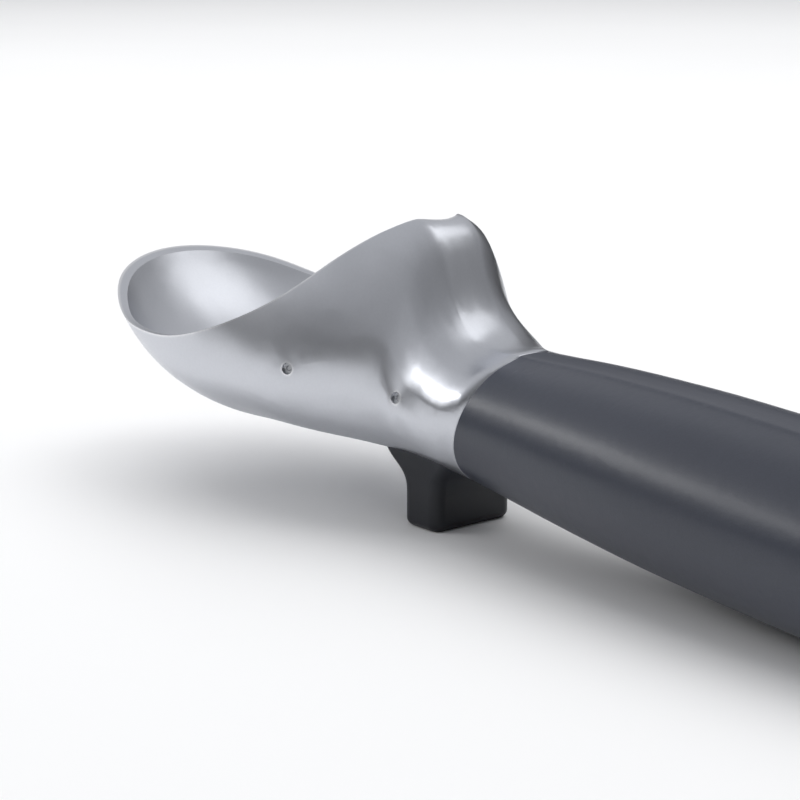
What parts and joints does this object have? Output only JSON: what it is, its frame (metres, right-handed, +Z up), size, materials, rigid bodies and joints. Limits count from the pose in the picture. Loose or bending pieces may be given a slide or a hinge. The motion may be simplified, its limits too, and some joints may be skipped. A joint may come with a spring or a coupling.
{
  "type": "ice cream scoop",
  "caption": "Hand scoop with a deep cast bowl that rises to a back wall, a neck on a rubber foot, and a smooth oval grip over a long tang.",
  "frame": {"origin": "on the table, below the middle of the whole length", "axes": "+X along the scoop to the bowl's tip, +Z up from the table, +Y to the side that the picture shows"},
  "size_m": [0.2188, 0.0496, 0.0449],
  "materials": {
    "head_metal": "satin, bead blasted",
    "pin_steel": "plain",
    "core_nylon": "moulded",
    "grip_slate": "satin slate grey",
    "gasket_rubber": "plain",
    "foot_rubber": "satin black"
  },
  "bodies": {
    "root": {"scoop_head": "head_metal", "side_pins": "pin_steel", "handle_core": "core_nylon", "handle_grip": "grip_slate", "end_cap": "grip_slate", "tang_pins": "pin_steel", "neck_gasket": "gasket_rubber", "foot_core": "core_nylon", "foot_cover": "foot_rubber", "foot_screw": "pin_steel"}
  },
  "joints": []
}
